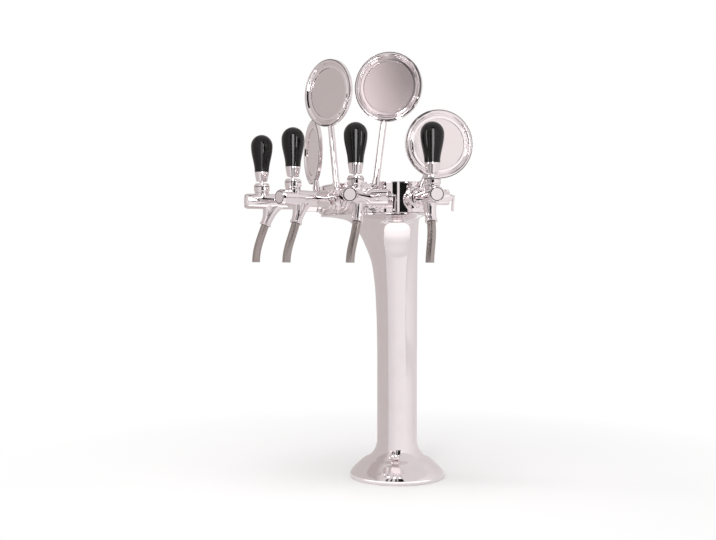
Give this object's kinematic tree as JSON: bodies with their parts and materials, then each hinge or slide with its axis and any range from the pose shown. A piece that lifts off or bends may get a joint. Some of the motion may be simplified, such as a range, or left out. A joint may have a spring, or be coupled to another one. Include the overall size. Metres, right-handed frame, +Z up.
{
  "type": "beer tower dispenser",
  "caption": "Chromed beer tower: a round column flares into a fan-shaped head with lever taps and swivelling round medallions.",
  "frame": {"origin": "centre of the foot's underside, on the column's axis", "axes": "+Z up the column; -Y is the front, down the middle of the fan of taps; +X is the right side as seen from the front, where tap 4 stands"},
  "size_m": [0.3542, 0.3255, 0.6706],
  "materials": {
    "mirror_chrome": "polished chrome plate",
    "brushed_steel": "brushed stainless steel",
    "brass": "machined brass",
    "plated_plastic": "chrome-plated plastic",
    "satin_plate": "satin plate, bare",
    "black_plastic": "glossy black",
    "hose": "milky beer line"
  },
  "bodies": {
    "tower": {"column_shell": "mirror_chrome", "head_band": "mirror_chrome", "head_cover": "mirror_chrome", "mounting_plate": "brushed_steel", "beer_line_1": "hose", "shank_1": "brushed_steel", "rosette_1": "mirror_chrome", "coupling_nut_1": "mirror_chrome", "tap_body_1": "mirror_chrome", "nozzle_1": "brushed_steel", "bonnet_1": "mirror_chrome", "medallion_arm_1": "mirror_chrome", "beer_line_2": "hose", "shank_2": "brushed_steel", "rosette_2": "mirror_chrome", "coupling_nut_2": "mirror_chrome", "tap_body_2": "mirror_chrome", "nozzle_2": "brushed_steel", "bonnet_2": "mirror_chrome", "medallion_arm_2": "mirror_chrome", "beer_line_3": "hose", "shank_3": "brushed_steel", "rosette_3": "mirror_chrome", "coupling_nut_3": "mirror_chrome", "tap_body_3": "mirror_chrome", "nozzle_3": "brushed_steel", "bonnet_3": "mirror_chrome", "medallion_arm_3": "mirror_chrome", "beer_line_4": "hose", "shank_4": "brushed_steel", "rosette_4": "mirror_chrome", "coupling_nut_4": "mirror_chrome", "tap_body_4": "mirror_chrome", "nozzle_4": "brushed_steel", "bonnet_4": "mirror_chrome", "medallion_arm_4": "mirror_chrome"},
    "hand_lever_1": {"lever_1": "mirror_chrome", "knob_1": "black_plastic"},
    "valve_piston_1": {"piston_1": "brass"},
    "compensator_1": {"compensator_lever_1": "mirror_chrome"},
    "medallion_1": {"medallion_housing_1": "plated_plastic", "medallion_face_1": "satin_plate"},
    "hand_lever_2": {"lever_2": "mirror_chrome", "knob_2": "black_plastic"},
    "valve_piston_2": {"piston_2": "brass"},
    "compensator_2": {"compensator_lever_2": "mirror_chrome"},
    "medallion_2": {"medallion_housing_2": "plated_plastic", "medallion_face_2": "satin_plate"},
    "hand_lever_3": {"lever_3": "mirror_chrome", "knob_3": "black_plastic"},
    "valve_piston_3": {"piston_3": "brass"},
    "compensator_3": {"compensator_lever_3": "mirror_chrome"},
    "medallion_3": {"medallion_housing_3": "plated_plastic", "medallion_face_3": "satin_plate"},
    "hand_lever_4": {"lever_4": "mirror_chrome", "knob_4": "black_plastic"},
    "valve_piston_4": {"piston_4": "brass"},
    "compensator_4": {"compensator_lever_4": "mirror_chrome"},
    "medallion_4": {"medallion_housing_4": "plated_plastic", "medallion_face_4": "satin_plate"}
  },
  "joints": [
    {"name": "lever_swing_1", "type": "hinge", "parent": "tower", "child": "hand_lever_1", "pos_m": [-0.15122, -0.16795, 0.4715], "axis": [0.7431, -0.6691, 0], "range_deg": [-20, 30]},
    {"name": "piston_slide_1", "type": "slide", "parent": "tower", "child": "valve_piston_1", "axis": [-0.6691, -0.7431, 0], "range_m": [-0.0097, 0.0065]},
    {"name": "compensator_turn_1", "type": "hinge", "parent": "tower", "child": "compensator_1", "pos_m": [-0.11911, -0.13228, 0.449], "axis": [-0.7431, 0.6691, 0], "range_deg": [0, 90]},
    {"name": "medallion_swivel_1", "type": "hinge", "parent": "tower", "child": "medallion_1", "pos_m": [-0.11588, -0.07638, 0.53267], "axis": [-0.2868, 0.2582, 0.9225], "range_deg": [-90, 90]},
    {"name": "lever_swing_2", "type": "hinge", "parent": "tower", "child": "hand_lever_2", "pos_m": [-0.05467, -0.21929, 0.4715], "axis": [0.9703, -0.2419, 0], "range_deg": [-20, 30]},
    {"name": "piston_slide_2", "type": "slide", "parent": "tower", "child": "valve_piston_2", "axis": [-0.2419, -0.9703, 0], "range_m": [-0.0097, 0.0065]},
    {"name": "compensator_turn_2", "type": "hinge", "parent": "tower", "child": "compensator_2", "pos_m": [-0.04306, -0.17271, 0.449], "axis": [-0.9703, 0.2419, 0], "range_deg": [0, 90]},
    {"name": "medallion_swivel_2", "type": "hinge", "parent": "tower", "child": "medallion_2", "pos_m": [-0.05437, -0.12486, 0.618], "axis": [-0.1283, 0.032, 0.9912], "range_deg": [-90, 90]},
    {"name": "lever_swing_3", "type": "hinge", "parent": "tower", "child": "hand_lever_3", "pos_m": [0.05467, -0.21929, 0.4715], "axis": [0.9703, 0.2419, 0], "range_deg": [-20, 30]},
    {"name": "piston_slide_3", "type": "slide", "parent": "tower", "child": "valve_piston_3", "axis": [0.2419, -0.9703, 0], "range_m": [-0.0097, 0.0065]},
    {"name": "compensator_turn_3", "type": "hinge", "parent": "tower", "child": "compensator_3", "pos_m": [0.04306, -0.17271, 0.449], "axis": [-0.9703, -0.2419, 0], "range_deg": [0, 90]},
    {"name": "medallion_swivel_3", "type": "hinge", "parent": "tower", "child": "medallion_3", "pos_m": [0.05437, -0.12486, 0.618], "axis": [0.1283, 0.032, 0.9912], "range_deg": [-90, 90]},
    {"name": "lever_swing_4", "type": "hinge", "parent": "tower", "child": "hand_lever_4", "pos_m": [0.15122, -0.16795, 0.4715], "axis": [0.7431, 0.6691, 0], "range_deg": [-20, 30]},
    {"name": "piston_slide_4", "type": "slide", "parent": "tower", "child": "valve_piston_4", "axis": [0.6691, -0.7431, 0], "range_m": [-0.0097, 0.0065]},
    {"name": "compensator_turn_4", "type": "hinge", "parent": "tower", "child": "compensator_4", "pos_m": [0.11911, -0.13228, 0.449], "axis": [-0.7431, -0.6691, 0], "range_deg": [0, 90]},
    {"name": "medallion_swivel_4", "type": "hinge", "parent": "tower", "child": "medallion_4", "pos_m": [0.11588, -0.07638, 0.53267], "axis": [0.2868, 0.2582, 0.9225], "range_deg": [-90, 90]}
  ],
  "couplings": [
    {"joint": "piston_slide_1", "follows": "lever_swing_1", "m_per_rad": -0.0184},
    {"joint": "piston_slide_2", "follows": "lever_swing_2", "m_per_rad": -0.0184},
    {"joint": "piston_slide_3", "follows": "lever_swing_3", "m_per_rad": -0.0184},
    {"joint": "piston_slide_4", "follows": "lever_swing_4", "m_per_rad": -0.0184}
  ]
}
